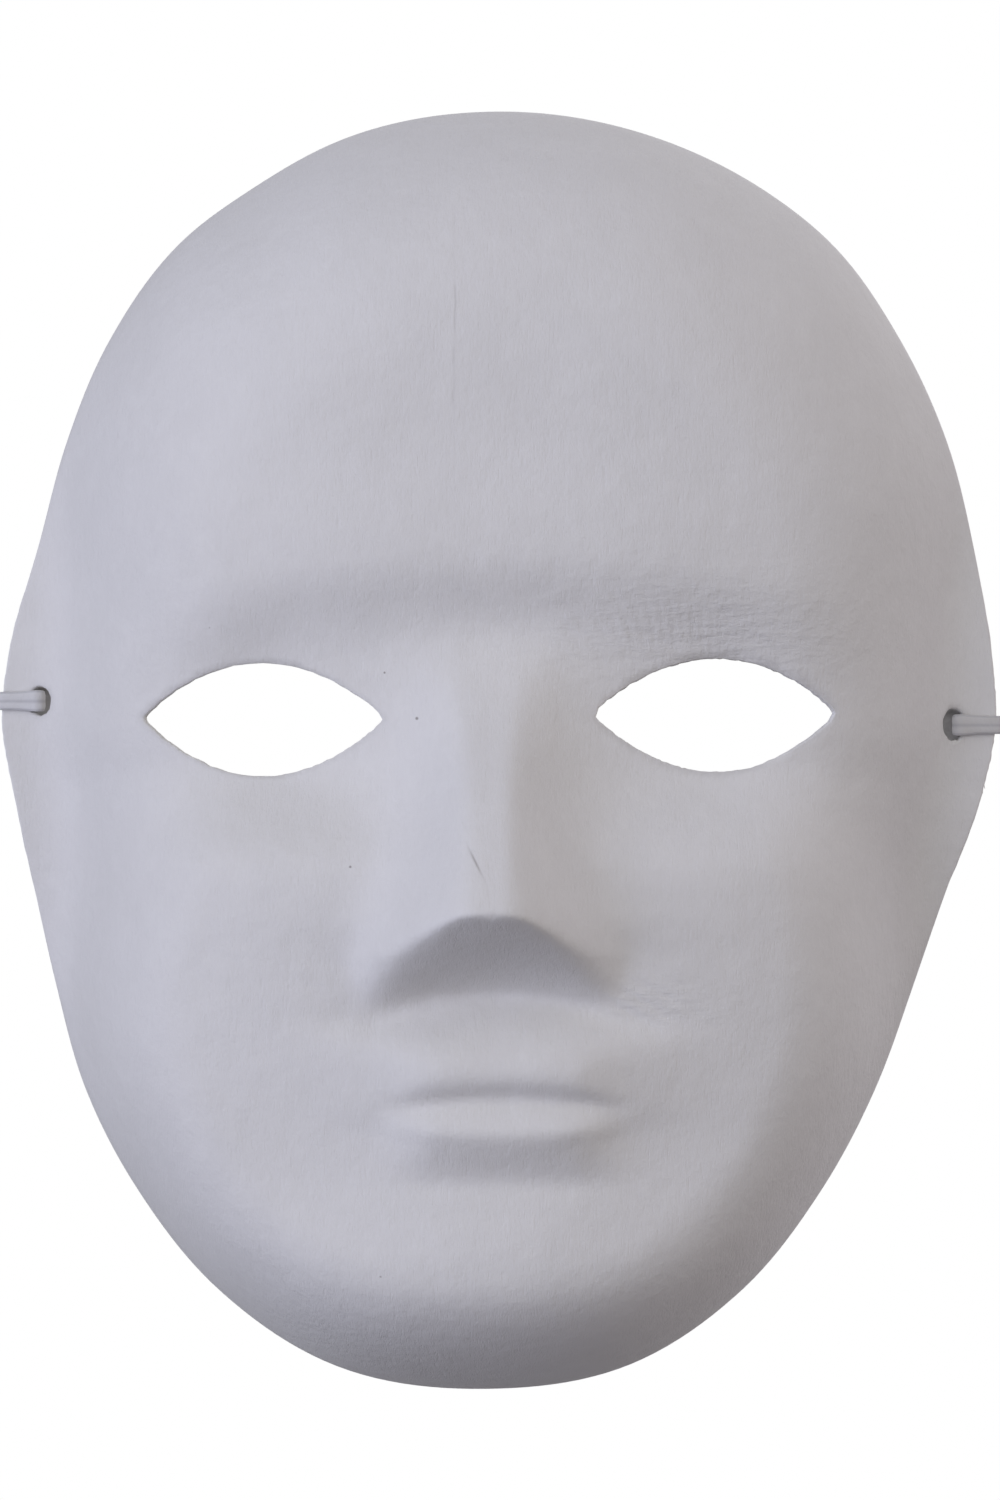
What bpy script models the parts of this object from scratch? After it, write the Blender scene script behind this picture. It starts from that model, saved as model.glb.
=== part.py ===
"""Blank moulded-pulp face mask with its elastic, upright as it is worn.

Frame: metres, +Z up, the face looks along -Y, X runs across. The origin is on the
mask's middle line, at the height of the eyes, in the plane that the rim lies in.
All the shape functions below work in millimetres and the meshes are made in metres.
"""

import math

import bmesh
import bpy
import numpy as np
from mathutils import Vector

MM = 0.001

# Driving dimensions, in millimetres
WALL = 1.3                   # thickness of the pulp
LOOP_GAP = 0.6               # clearance between the loops of elastic and the tabs
RIM_CENTRE_Z = -6.0          # the rim is described by angle round this height
TAB_REACH = 13.0             # flat margin of the ear tabs, measured in from the rim
TAB_LIFT = 3.0               # how far the tabs' edge stands in front of the rim plane
NOSE_TIP = (-1.6, -35.0)     # X and Z of the nose tip, where the mesh's rings start

EYE_HALF_WIDTH = 21.5
EYE_TOP = 9.8                # height of the opening's upper curve over its corners
EYE_BOTTOM = 10.4
EYES = {"left": (-42.9, -1.2), "right": (39.2, -0.4)}

STRAP_HOLE_RADIUS = 2.5
STRAP_HOLES = {"left": (-85.9, 2.2), "right": (85.0, -2.3)}
ELASTIC_WIDTH = 3.0
ELASTIC_THICKNESS = 1.0
KNOT_RADII = (2.9, 2.3, 2.7)
KNOT_DEPTH = 1.9             # Y of the knots' centres
TAIL_LENGTH = 11.0

RINGS = 20                   # from the nose tip to the rim
SPOKES = 60                  # round the rim

# Rim of the mask as X, Z, clockwise from the crown. The chin half leans a little to
# the left, as pressed pulp does when it dries.
RIM = (
    (1, 113), (31, 107.5), (50, 98), (62, 88.5), (75.3, 70), (83.9, 51.3), (89.2, 30),
    (92.2, 10), (92.8, -2), (90, -16), (83.8, -33.3), (77.4, -52.1), (70.4, -71),
    (60.2, -90), (45.4, -108.5), (24, -122.6), (-2, -127), (-31, -122.6),
    (-52.7, -108.5), (-68, -89.7), (-77.8, -70.9), (-83.2, -52), (-87.3, -33.3),
    (-91, -15), (-93.2, -2), (-91.8, 12), (-86.4, 32.5), (-81.3, 51.3), (-73.4, 70),
    (-59.5, 88.9), (-46.9, 98.3), (-29, 108),
)

# Profiles along the height, as (Z, value)
NOSE_RIDGE = (
    (40, 30), (24, 40), (15, 44.0), (9, 47), (0, 53.2), (-10, 61.4), (-22, 70.5),
    (-31, 77), (-35, 79.4), (-40, 81.5), (-60, 83),
)
NOSE_FLAT = ((20, 10), (8, 8.5), (0, 6.6), (-12, 5.0), (-22, 4.8), (-34, 5.6), (-44, 7.6))
NOSE_SPREAD = ((20, 9), (0, 8.8), (-12, 11.5), (-22, 15), (-32, 17.5), (-44, 19))
LIPS_MIDDLE = (
    (-46, 0), (-50.5, 0.1), (-52.5, 0.9), (-54.5, 2.5), (-57, 4.8), (-60, 7.2), (-62.5, 8.7),
    (-65, 9.2), (-66.8, 8.7), (-68.2, 7.4), (-69.2, 6.3), (-70, 6.0), (-71, 6.5), (-73.4, 7.8),
    (-75.4, 8.5), (-76.9, 8.0), (-78.4, 6.9), (-83.9, 2.5), (-84.6, 2.1), (-88, 1.6), (-95, 0.7),
    (-102, 0),
)
LIPS_SIDES = (
    (-46, 0), (-51, 0.2), (-54, 2.0), (-58, 5.0), (-62, 6.5), (-66, 6.4), (-71, 5.4), (-76, 4.0),
    (-80, 3.0), (-84, 1.9), (-85, 1.7), (-88, 1.4), (-95, 0.6), (-102, 0),
)

# The strap hangs from knot to knot, as X, Y, Z
STRAP_ROUTE = (
    (-86.5, 1.5, -3.3), (-83.7, 1.5, -7.4), (-80, 1.6, -13.4), (-75, 1.7, -22.4),
    (-70, 1.8, -31.7), (-60, 2, -46.6), (-50, 2.1, -58.4), (-40, 2.1, -67.7),
    (-30, 2, -74.7), (-20, 1.9, -79.6), (-10, 1.8, -82.6), (0, 1.7, -83.8),
    (10, 1.7, -83.1), (20, 1.7, -80.6), (30, 1.8, -76.2), (40, 1.9, -69.7),
    (50, 2, -60.9), (60, 2, -49.5), (70, 1.9, -34.9), (75, 1.8, -26), (80, 1.6, -15.6),
    (82.8, 1.5, -11.1), (85.3, 1.4, -7.5),
)
STRAP_POINT_SPACING = 7.0


# Shape of the face

def smooth_step(start, end, value):
    """0 before start, 1 after end, with a smooth rise between them."""
    t = np.clip((value - start) / (end - start), 0, 1)
    return t * t * (3 - 2 * t)


def bell(value, width):
    return np.exp(-0.5 * (value / width) ** 2)


def soft_max(a, b, blend):
    return 0.5 * (a + b + np.sqrt((a - b) ** 2 + blend**2))


def soft_min(a, b, blend):
    return 0.5 * (a + b - np.sqrt((a - b) ** 2 + blend**2))


def hermite(knots, values, slopes, at):
    """Smooth cubic curve through (knots, values), read at the numbers given."""
    i = np.clip(np.searchsorted(knots, at) - 1, 0, len(knots) - 2)
    h = knots[i + 1] - knots[i]
    t = (at - knots[i]) / h
    rise = (3 - 2 * t) * t * t
    return (
        (1 - rise) * values[i] + rise * values[i + 1]
        + (t - 1) * t * h * ((t - 1) * slopes[i] + t * slopes[i + 1])
    )


def along_height(profile, z):
    """A profile's value at the heights z."""
    knots, values = np.array(sorted(profile), float).T
    slopes = np.gradient(values, knots)
    return hermite(knots, values, slopes, np.clip(z, knots[0], knots[-1]))


def rim_table():
    """The rim's angles, radii and slopes about RIM_CENTRE_Z, wrapped past a full turn."""
    x, z = np.array(RIM, float).T
    angle = np.arctan2(z - RIM_CENTRE_Z, x)
    order = np.argsort(angle)
    angle, radius = angle[order], np.hypot(x, z - RIM_CENTRE_Z)[order]
    turn = 2 * math.pi
    angle = np.concatenate([angle[-2:] - turn, angle, angle[:3] + turn])
    radius = np.concatenate([radius[-2:], radius, radius[:3]])
    return angle, radius, np.gradient(radius, angle)


RIM_TABLE = rim_table()


def rim_radius(angle):
    return hermite(*RIM_TABLE, angle)


def wall_rise(x, z):
    """(share of the full depth, extra depth of the ear tabs) at a point of the plan."""
    angle = np.arctan2(z - RIM_CENTRE_Z, x)
    inward = np.maximum(rim_radius(angle) - np.hypot(x, z - RIM_CENTRE_Z), 0)
    up = np.sin(angle)
    run = np.where(up > 0, 36 + 9 * up**2, 36 - 36 * up**2 + 25 * up**4)
    tab = TAB_REACH * np.exp(-((np.abs(up) / 0.5) ** 2.5))
    corner = 2.2
    climb = corner * (
        np.log1p(np.exp((inward - tab) / corner)) - np.log1p(np.exp(-tab / corner))
    )
    share = (1 - np.clip(1 - climb / run, 0, 1) ** 2.4) ** 0.6
    lift = TAB_LIFT * (1 - smooth_step(0.12, 0.5, np.abs(up))) * (1 - share)
    return share, lift


def face_depth(x, z):
    """How far the mask's outer face stands in front of the rim plane."""
    share, lift = wall_rise(x, z)
    side = np.abs(x + 1)
    face = 50 - 0.0027 * x**2 - 0.0011 * np.clip(z - 30, 0, None) ** 2
    face = face - 0.0006 * np.clip(-z - 60, 0, None) ** 2
    brow = 18.5 - 0.0016 * side**2
    socket = smooth_step(brow + 10, brow - 13, z) * smooth_step(-29, -6, z)
    face = face - 8.8 * socket * (1 - smooth_step(36, 78, side))
    face = face + 1.2 * bell(z - 31, 8) * (1 - smooth_step(25, 68, side))
    cheek = smooth_step(-9, -33, z) * (1 - smooth_step(-36, -94, z))
    face = face + 5.8 * bell(side - 38, 20) * cheek
    face = face + 5.0 * bell(z + 101, 12) * bell(x + 1, 26)
    face = soft_max(face, nose_depth(x, z), 5.5 - 3.5 * smooth_step(-36, -46, z))
    return (face + mouth_relief(x, z)) * share + lift


def nose_depth(x, z):
    """A flat-topped ridge with flanks like a bell, cut off by the nose's underside."""
    ridge = along_height(NOSE_RIDGE, z)
    flat = along_height(NOSE_FLAT, z)
    side = x + 2.0
    across = np.maximum((side**4 + flat**4) ** 0.25 - flat, 0)
    fall = (ridge - 44) * 1.1 * (1 - np.exp(-((across / along_height(NOSE_SPREAD, z)) ** 1.15)))
    underside = 48 + 2.0 * bell(side, 20) * (z + 52.3 + 0.012 * side**2)
    return soft_min(ridge - fall - 0.15 * across, underside, 2.2 + 0.012 * side**2)


def mouth_relief(x, z):
    """Upper lip, closed mouth line and lower lip, added to the face."""
    across = np.abs(x - 0.5)
    arch = 0.011 * bell(z + 53, 4) + 0.0045 * bell(z + 69, 3.5) - 0.004 * bell(z + 76.5, 2.5)
    z = z + arch * np.minimum(across, 24) ** 2
    middle = 1 - smooth_step(12, 25, across)
    lips = along_height(LIPS_MIDDLE, z) * middle + along_height(LIPS_SIDES, z) * (1 - middle)
    return lips * np.exp(-((across / 27) ** 3.2))


def face_slopes(x, z):
    """Slopes of face_depth along X and Z."""
    step = 0.2
    along_x = (face_depth(x + step, z) - face_depth(x - step, z)) / (2 * step)
    along_z = (face_depth(x, z + step) - face_depth(x, z - step)) / (2 * step)
    return along_x, along_z


# Making objects

def material(name, colour, roughness):
    made = bpy.data.materials.new(name)
    made.use_nodes = True
    shader = made.node_tree.nodes["Principled BSDF"]
    shader.inputs["Base Color"].default_value = (*colour, 1)
    shader.inputs["Roughness"].default_value = roughness
    shader.inputs["Metallic"].default_value = 0
    return made


def object_from(mesh_data, name, finish=None):
    """An object of a bmesh in millimetres, made in metres with its faces pointing out."""
    bmesh.ops.recalc_face_normals(mesh_data, faces=mesh_data.faces)
    bmesh.ops.scale(mesh_data, vec=Vector((MM, MM, MM)), verts=mesh_data.verts)
    mesh = bpy.data.meshes.new(name)
    mesh_data.to_mesh(mesh)
    mesh_data.free()
    if finish:
        mesh.materials.append(finish)
        mesh.shade_smooth()
        mesh.set_sharp_from_angle(angle=math.radians(40))
    made = bpy.data.objects.new(name, mesh)
    bpy.context.scene.collection.objects.link(made)
    return made


def join_rings(mesh_data, rings, closed):
    """Quads between neighbouring rings of vertices; closed joins the last to the first."""
    pairs = list(zip(rings, rings[1:]))
    if closed:
        pairs.append((rings[-1], rings[0]))
    for ring, following in pairs:
        for i, vert in enumerate(ring):
            after = (i + 1) % len(ring)
            mesh_data.faces.new((vert, ring[after], following[after], following[i]))


def boolean(target, other, operation):
    """Cuts or joins with an object that the build leaves out."""
    other.hide_render = True
    other.display_type = "WIRE"
    step = target.modifiers.new(other.name, "BOOLEAN")
    step.operation = operation
    step.object = other
    step.solver = "EXACT"


# The shell

def plan_rings():
    """Plan positions of the shell's rings, from just round the nose tip to the rim."""
    angles = np.linspace(0, 2 * math.pi, SPOKES, endpoint=False) - math.pi / 2
    turned = np.arctan2(np.sin(angles), np.cos(angles))
    rim_x = rim_radius(turned) * np.cos(angles)
    rim_z = rim_radius(turned) * np.sin(angles) + RIM_CENTRE_Z
    u = np.arange(1, RINGS + 1) / RINGS
    reach = 0.6 * u + 0.4 * np.sin(u * math.pi / 2)
    x = NOSE_TIP[0] + np.outer(reach, rim_x - NOSE_TIP[0])
    z = NOSE_TIP[1] + np.outer(reach, rim_z - NOSE_TIP[1])
    return x, z


def shell_sheets():
    """Outer and inner points of the shell, each an array of rings by spokes by XYZ."""
    x, z = plan_rings()
    outer = np.stack([x, -face_depth(x, z), z], -1)
    slope_x, slope_z = face_slopes(x, z)
    back = np.ones_like(x)
    # the rim's cut edge lies in the rim plane, except on the tabs, where it is square
    inside = NOSE_TIP[0] + (x[-1] - NOSE_TIP[0]) * 0.995, NOSE_TIP[1] + (z[-1] - NOSE_TIP[1]) * 0.995
    slope_x[-1], slope_z[-1] = face_slopes(*inside)
    _, lift = wall_rise(x[-1], z[-1])
    back[-1] = np.clip(lift / TAB_LIFT, 0, 1)
    direction = np.stack([slope_x, back, slope_z], -1)
    direction /= np.linalg.norm(direction, axis=-1, keepdims=True)
    return outer, outer + WALL * direction


def eye_outline(centre):
    """Almond of two parabolas through the eye's corners, as X and Z."""
    u = np.linspace(-1, 1, 13)
    upper = [(centre[0] + EYE_HALF_WIDTH * t, centre[1] + EYE_TOP * (1 - t * t)) for t in u]
    lower = [(centre[0] + EYE_HALF_WIDTH * t, centre[1] - EYE_BOTTOM * (1 - t * t)) for t in u]
    return upper + lower[-2:0:-1]


def hole_outline(centre):
    turns = np.linspace(0, 2 * math.pi, 16, endpoint=False)
    return [
        (centre[0] + STRAP_HOLE_RADIUS * math.cos(t), centre[1] + STRAP_HOLE_RADIUS * math.sin(t))
        for t in turns
    ]


def prism(name, outline, front, back):
    """A closed prism of an XZ outline from Y = front to Y = back."""
    made = bmesh.new()
    rings = [[made.verts.new((x, y, z)) for x, z in outline] for y in (front, back)]
    join_rings(made, rings, closed=False)
    made.faces.new(rings[0])
    made.faces.new(rings[1])
    return object_from(made, name)


def make_shell(finish):
    outer, inner = shell_sheets()
    made = bmesh.new()
    sheets = [[[made.verts.new(p) for p in ring] for ring in sheet] for sheet in (outer, inner)]
    tip_y = -float(face_depth(*np.array(NOSE_TIP)))
    for sheet, y in zip(sheets, (tip_y, tip_y + WALL)):
        join_rings(made, sheet, closed=False)
        tip = made.verts.new((NOSE_TIP[0], y, NOSE_TIP[1]))
        for a, b in zip(sheet[0], sheet[0][1:] + sheet[0][:1]):
            made.faces.new((tip, b, a))
    join_rings(made, [sheets[0][-1], sheets[1][-1]], closed=False)
    shell = object_from(made, "mask_shell", finish)
    for side, centre in EYES.items():
        boolean(shell, prism(f"cut_eye_{side}", eye_outline(centre), -75, -10), "DIFFERENCE")
    for side, centre in STRAP_HOLES.items():
        boolean(shell, prism(f"cut_hole_{side}", hole_outline(centre), -20, 10), "DIFFERENCE")
    return shell


# The elastic

def band_section():
    """Cross-section of the flat elastic with broken corners, as (across, through)."""
    w, t, c = ELASTIC_WIDTH / 2, ELASTIC_THICKNESS / 2, ELASTIC_THICKNESS / 4
    quarter = ((w, t - c), (w - c, t))
    half = quarter + tuple((-across, through) for across, through in reversed(quarter))
    return half + tuple((across, -through) for across, through in reversed(half))


def loop_path(centre):
    """Round-cornered path through the hole and round the rim, in the plane of the hole.

    Returns its points and the outward direction at each one, as XY.
    """
    x, z = centre
    reach = rim_radius(np.arctan2(z - RIM_CENTRE_Z, x))
    edge = math.copysign(math.sqrt(reach**2 - (z - RIM_CENTRE_Z) ** 2), x)
    hole_y = -float(face_depth(np.array(x), np.array(z)))
    edge_y = -TAB_LIFT
    along = Vector((edge - x, edge_y - hole_y)).normalized()
    behind = Vector((-along.y, along.x)) if along.x > 0 else Vector((along.y, -along.x))
    start = Vector((x, hole_y)) + behind * (WALL / 2)
    end = Vector((edge, edge_y)) + behind * (WALL / 2) + along * (LOOP_GAP + ELASTIC_THICKNESS / 2)
    half = WALL / 2 + LOOP_GAP + ELASTIC_THICKNESS / 2
    radius = half * 0.8
    points = []
    for at, lengthways in ((end, along), (start, -along)):
        for side in (1, -1):
            turn_side = side if lengthways == along else -side
            middle = at - lengthways * radius + behind * turn_side * (half - radius)
            for step in range(5):
                turn = math.pi / 2 * step / 4
                share = (math.sin(turn), math.cos(turn)) if side == 1 else (math.cos(turn), math.sin(turn))
                out = lengthways * share[0] + behind * turn_side * share[1]
                points.append((middle + out * radius, out))
    return points


def make_loop(side, finish):
    """The ring of elastic through the strap hole and round the edge of the tab."""
    centre = STRAP_HOLES[side]
    made = bmesh.new()
    rings = []
    for point, out in loop_path(centre):
        rings.append([
            made.verts.new((point.x + out.x * through, point.y + out.y * through, centre[1] + across))
            for across, through in band_section()
        ])
    join_rings(made, rings, closed=True)
    return object_from(made, f"loop_{side}", finish)


def knot_centre(side):
    x, z = STRAP_HOLES[side]
    return Vector((x + math.copysign(3.4, x), KNOT_DEPTH, z))


def make_knot(side, finish):
    """An overhand knot as a rounded lump, joined with the cut tail that hangs from it."""
    centre = knot_centre(side)
    outward = math.copysign(1, centre.x)
    lump = bmesh.new()
    bmesh.ops.create_uvsphere(lump, u_segments=14, v_segments=9, radius=1)
    bmesh.ops.scale(lump, vec=Vector(KNOT_RADII), verts=lump.verts)
    bmesh.ops.translate(lump, vec=centre, verts=lump.verts)
    tail = bmesh.new()
    rings = []
    for share in (0, 0.35, 0.7, 1):
        drop = TAIL_LENGTH * share
        lean = 1.6 * share**2
        rings.append([
            tail.verts.new((centre.x + outward * lean + across, centre.y + 0.6 + through, centre.z - drop))
            for across, through in band_section()
        ])
    join_rings(tail, rings, closed=False)
    tail.faces.new(rings[0])
    tail.faces.new(rings[-1])
    knot = object_from(lump, f"knot_{side}", finish)
    boolean(knot, object_from(tail, f"join_tail_{side}"), "UNION")
    return knot


def smooth_route(points, spacing):
    """Points every spacing or so on a smooth curve through the route's own points."""
    route = np.array(points, float)
    steps = np.linalg.norm(np.diff(route, axis=0), axis=1)
    knots = np.concatenate([[0], np.cumsum(steps)])
    at = np.linspace(0, knots[-1], int(round(knots[-1] / spacing)) + 1)
    return np.stack([
        hermite(knots, route[:, k], np.gradient(route[:, k], knots), at) for k in range(3)
    ], 1)


def make_strap(finish):
    """The head elastic, hanging from knot to knot."""
    points = smooth_route(STRAP_ROUTE, STRAP_POINT_SPACING) * MM
    curve = bpy.data.curves.new("head_elastic", "CURVE")
    curve.dimensions = "3D"
    curve.bevel_depth = ELASTIC_WIDTH / 2 * MM
    curve.bevel_resolution = 2
    curve.use_fill_caps = True
    spline = curve.splines.new("POLY")
    spline.points.add(len(points) - 1)
    for point, place in zip(spline.points, points):
        point.co = (*place, 1)
    curve.materials.append(finish)
    strap = bpy.data.objects.new("head_elastic", curve)
    bpy.context.scene.collection.objects.link(strap)
    return strap


def main():
    for old in list(bpy.data.objects):
        bpy.data.objects.remove(old, do_unlink=True)
    pulp = material("white_pulp", (0.74, 0.73, 0.72), 0.9)
    elastic = material("white_elastic", (0.78, 0.78, 0.79), 0.75)
    make_shell(pulp)
    for side in STRAP_HOLES:
        make_loop(side, elastic)
        make_knot(side, elastic)
    make_strap(elastic)


main()
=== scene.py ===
import math

import bpy
import numpy as np
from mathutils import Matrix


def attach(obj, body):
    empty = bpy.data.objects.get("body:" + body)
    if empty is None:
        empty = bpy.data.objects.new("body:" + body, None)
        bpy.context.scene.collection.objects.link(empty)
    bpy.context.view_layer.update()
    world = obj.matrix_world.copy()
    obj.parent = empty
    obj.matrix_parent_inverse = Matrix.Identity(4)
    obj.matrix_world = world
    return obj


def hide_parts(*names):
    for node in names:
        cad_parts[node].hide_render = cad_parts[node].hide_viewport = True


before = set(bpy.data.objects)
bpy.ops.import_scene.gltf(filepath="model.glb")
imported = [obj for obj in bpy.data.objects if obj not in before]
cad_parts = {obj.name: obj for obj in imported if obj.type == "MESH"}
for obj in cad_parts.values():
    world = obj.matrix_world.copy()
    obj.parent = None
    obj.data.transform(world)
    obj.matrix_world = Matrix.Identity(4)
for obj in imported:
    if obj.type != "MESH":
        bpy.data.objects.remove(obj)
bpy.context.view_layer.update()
print("frame loaded:", len(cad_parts), "nodes")

mm = 0.001


# ---- camera

cameraSettings = {
    "place": (0.0, -1.2, -0.007),    # level with the cheekbones, straight in front
    "lens": 153.2,
    "sensor": 36.0,
}


def makeCamera(s):
    data = bpy.data.cameras.new("camera")
    data.lens = s["lens"]
    data.sensor_width = s["sensor"]
    data.clip_end = 20
    made = bpy.data.objects.new("camera", data)
    made.location = s["place"]
    made.rotation_euler = (math.pi / 2, 0, 0)
    bpy.context.scene.collection.objects.link(made)
    bpy.context.scene.camera = made


makeCamera(cameraSettings)
print("camera placed")


# ---- sums that the shapes use, all on whole arrays

def smoothStep(start, end, value):
    # 0 before start, 1 after end, and 3t^2 - 2t^3 of the share between them
    t = np.clip((value - start) / (end - start), 0, 1)
    return t * t * (3 - 2 * t)


def bell(value, width):
    # e to the power of minus half of (value / width) squared
    return np.exp(-0.5 * (value / width) ** 2)


def softMax(a, b, blend):
    # the larger of two values, rounded over where they are within about blend of each other
    return 0.5 * (a + b + np.sqrt((a - b) ** 2 + blend**2))


def softMin(a, b, blend):
    return 0.5 * (a + b - np.sqrt((a - b) ** 2 + blend**2))


def curveThrough(knots, values, at):
    # cubic Hermite curve through the knots, with the slopes of the neighbouring knots
    slopes = np.gradient(values, knots)
    i = np.clip(np.searchsorted(knots, at) - 1, 0, len(knots) - 2)
    h = knots[i + 1] - knots[i]
    t = (at - knots[i]) / h
    rise = (3 - 2 * t) * t * t
    bend = (t - 1) * t * h * ((t - 1) * slopes[i] + t * slopes[i + 1])
    return (1 - rise) * values[i] + rise * values[i + 1] + bend


def profileAt(profile, z):
    knots, values = np.array(sorted(profile), float).T
    return curveThrough(knots, values, np.clip(z, knots[0], knots[-1]))


def waves(x, z, seed, shortest, longest, count):
    # sum of plane sine waves with seeded directions, lengths and phases, about -1 to 1
    rng = np.random.default_rng(seed)
    turn = rng.uniform(0, math.tau, count)
    length = shortest * (longest / shortest) ** rng.uniform(0, 1, count)
    phase = rng.uniform(0, math.tau, count)
    across = x[..., None] * np.cos(turn) + z[..., None] * np.sin(turn)
    return np.sin(math.tau * across / length + phase).sum(-1) / math.sqrt(2 * count)


def unit(vectors):
    return vectors / np.linalg.norm(vectors, axis=-1, keepdims=True)


# ---- the mask's face, in millimetres: X across, Z up, depth in front of the rim's plane

maskSettings = {
    "wall": 1.3,                  # thickness of the pulp
    "darkeningReach": 0.9,             # how far from an opening the darkening fades
    "rimCentreZ": -6.0,           # the rim is given by angle round this height
    "tabReach": 13.0,             # flat margin of the ear tabs
    "tabLift": 3.0,               # how far the tabs' edge stands in front of the rim plane
    "noseTip": (-1.6, -35.0),     # X and Z where the rings start
    "rings": 130,
    "spokes": 340,
    "edgeRound": 0.35,            # how far the cut edges bulge
    "wallRows": 4,                # faces through the thickness at a cut edge
    "eyes": {"left": (-43.4, -1.2), "right": (39.3, -0.4)},
    "eyeHalfWidth": 22.9,
    "eyeTop": 9.8,
    "eyeBottom": 10.4,
    "eyeCorner": 1.7,             # rounding of the eyes' corners
    "strapHoles": {               # centre X, Z, half width, half height
        "left": (-86.3, 2.2, 2.0, 2.6),
        "right": (85.1, -2.3, 2.0, 2.9),
    },
}

rimPoints = (
    (1, 113), (31, 107.5), (50, 98), (62, 88.5), (75.3, 70), (83.9, 51.3), (89.2, 30),
    (92.2, 10), (92.8, -2), (90, -16), (83.8, -33.3), (77.4, -52.1), (70.4, -71),
    (60.2, -90), (45.4, -108.5), (24, -122.6), (-2, -127), (-31, -122.6),
    (-52.7, -108.5), (-68, -89.7), (-77.8, -70.9), (-83.2, -52), (-87.3, -33.3),
    (-91, -15), (-93.2, -2), (-91.8, 12), (-86.4, 32.5), (-81.3, 51.3), (-73.4, 70),
    (-59.5, 88.9), (-46.9, 98.3), (-29, 108),
)
noseRidge = (
    (40, 30), (24, 40), (15, 44.0), (9, 47), (0, 53.2), (-10, 61.4), (-22, 70.5),
    (-31, 77), (-35, 79.4), (-40, 81.5), (-60, 83),
)
noseFlat = ((20, 10), (8, 8.5), (0, 6.6), (-12, 5.0), (-22, 4.8), (-34, 5.6), (-44, 7.6))
noseSpread = ((20, 9), (0, 8.8), (-12, 11.5), (-22, 15), (-32, 17.5), (-44, 19))
lipsMiddle = (
    (-46, 0), (-50.5, 0.1), (-52.5, 0.9), (-54.5, 2.5), (-57, 4.8), (-60, 7.2), (-62.5, 8.7),
    (-65, 9.2), (-66.8, 8.7), (-68.2, 7.4), (-69.2, 6.3), (-70, 6.0), (-71, 6.5), (-73.4, 7.8),
    (-75.4, 8.5), (-76.9, 8.0), (-78.4, 6.9), (-83.9, 2.5), (-84.6, 2.1), (-88, 1.6), (-95, 0.7),
    (-102, 0),
)
lipsSides = (
    (-46, 0), (-51, 0.2), (-54, 2.0), (-58, 5.0), (-62, 6.5), (-66, 6.4), (-71, 5.4), (-76, 4.0),
    (-80, 3.0), (-84, 1.9), (-85, 1.7), (-88, 1.4), (-95, 0.6), (-102, 0),
)


def rimTable():
    # the rim's angle and radius round its centre, wrapped past a full turn
    x, z = np.array(rimPoints, float).T
    angle = np.arctan2(z - maskSettings["rimCentreZ"], x)
    order = np.argsort(angle)
    angle, radius = angle[order], np.hypot(x, z - maskSettings["rimCentreZ"])[order]
    angle = np.concatenate([angle[-2:] - math.tau, angle, angle[:3] + math.tau])
    return angle, np.concatenate([radius[-2:], radius, radius[:3]])


rimAngles, rimRadii = rimTable()


def inwardFromRim(x, z):
    # (distance in from the rim along the spoke, sine of the spoke's angle)
    up = z - maskSettings["rimCentreZ"]
    angle = np.arctan2(up, x)
    inward = curveThrough(rimAngles, rimRadii, angle) - np.hypot(x, up)
    return np.maximum(inward, 0), np.sin(angle)


def wallRise(x, z):
    # share of the full depth, (1 - (1 - climb / run)^2.4)^0.6, and the tabs' extra depth
    inward, up = inwardFromRim(x, z)
    run = np.where(up > 0, 36 + 9 * up**2, 36 - 36 * up**2 + 25 * up**4)
    tab = maskSettings["tabReach"] * np.exp(-((np.abs(up) / 0.5) ** 2.5))
    corner = 2.2
    climb = corner * (np.log1p(np.exp((inward - tab) / corner)) - np.log1p(np.exp(-tab / corner)))
    share = (1 - np.clip(1 - climb / run, 0, 1) ** 2.4) ** 0.6
    lift = maskSettings["tabLift"] * (1 - smoothStep(0.12, 0.5, np.abs(up))) * (1 - share)
    return share, lift


def noseDepth(x, z):
    # a flat-topped ridge whose flanks run out like a bell, cut off by the nose's underside
    ridge = profileAt(noseRidge, z)
    flat = profileAt(noseFlat, z)
    side = x + 2.0
    across = np.maximum((side**4 + flat**4) ** 0.25 - flat, 0)
    fall = (ridge - 44) * 1.1 * (1 - np.exp(-((across / profileAt(noseSpread, z)) ** 1.15)))
    underside = 48 + 2.0 * bell(side, 20) * (z + 52.3 + 0.012 * side**2)
    return softMin(ridge - fall - 0.15 * across, underside, 2.2 + 0.012 * side**2)


def mouthRelief(x, z):
    # the lips' profile down the middle, blended into a plainer one at their sides
    across = np.abs(x - 0.5)
    arch = 0.011 * bell(z + 53, 4) + 0.0045 * bell(z + 69, 3.5) - 0.004 * bell(z + 76.5, 2.5)
    z = z + arch * np.minimum(across, 24) ** 2
    middle = 1 - smoothStep(12, 25, across)
    lips = profileAt(lipsMiddle, z) * middle + profileAt(lipsSides, z) * (1 - middle)
    return lips * np.exp(-((across / 27) ** 3.2))


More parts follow.
